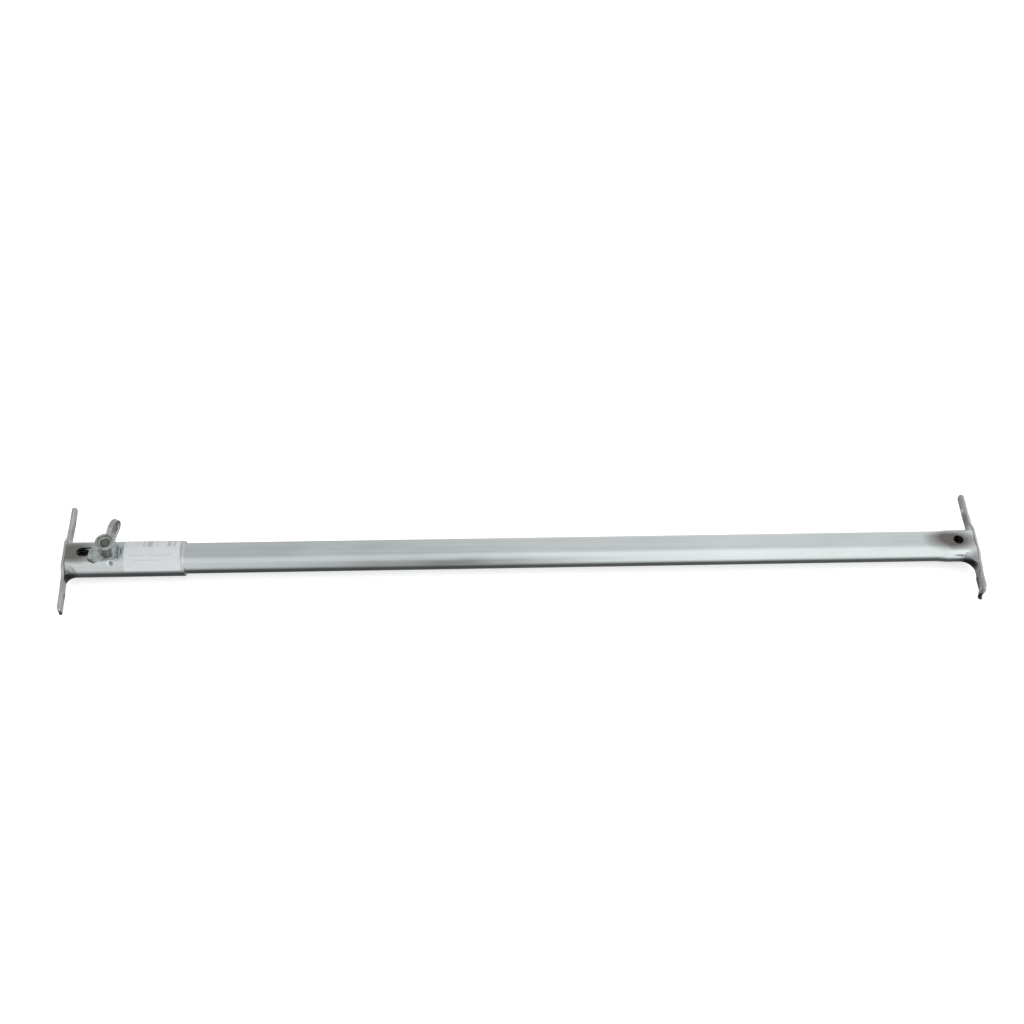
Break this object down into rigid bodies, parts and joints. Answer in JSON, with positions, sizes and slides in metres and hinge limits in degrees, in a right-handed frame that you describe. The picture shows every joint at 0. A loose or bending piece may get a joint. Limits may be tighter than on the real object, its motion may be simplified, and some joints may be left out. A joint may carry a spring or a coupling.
{
  "type": "telescopic stay bar",
  "caption": "Telescopic tubular stay bar with a foot plate at each end and a sleeve clamped by a wing nut through slotted flats.",
  "frame": {"origin": "centre of the outer face of the sleeve end's foot plate", "axes": "+X along the bar from the sleeve's foot to the far foot, +Z along the clamp bolt towards the wing nut, Y along the foot plates"},
  "size_m": [0.6, 0.0803, 0.0403],
  "materials": {
    "zinc_tube": "bright zinc-plated, semi-gloss",
    "zinc_foot": "bright zinc-plated pressing",
    "zinc_fastener": "zinc-plated fastener",
    "cast_nut": "cast and zinc-plated",
    "label_paper": null
  },
  "bodies": {
    "sleeve_body": {"sleeve_tube": "zinc_tube", "sleeve_foot": "zinc_foot", "sleeve_label": "label_paper"},
    "tube_body": {"main_tube": "zinc_tube", "tube_foot": "zinc_foot", "clamp_bolt": "zinc_fastener"},
    "washer_body": {"nut_washer": "zinc_fastener"},
    "nut_body": {"wing_nut": "cast_nut"}
  },
  "joints": [
    {"name": "tube_slide", "type": "slide", "parent": "sleeve_body", "child": "tube_body", "axis": [1, 0, 0], "range_m": [-0.015, 0]},
    {"name": "washer_lift", "type": "slide", "parent": "tube_body", "child": "washer_body", "axis": [0, 0, 1], "range_m": [0, 0.0013]},
    {"name": "wing_nut_turn", "type": "hinge", "parent": "washer_body", "child": "nut_body", "pos_m": [0.0292, 0, 0.0113], "axis": [0, 0, 1], "range_deg": [0, 450]}
  ],
  "couplings": [
    {"joint": "washer_lift", "follows": "wing_nut_turn", "m_per_rad": 0.00015915}
  ]
}
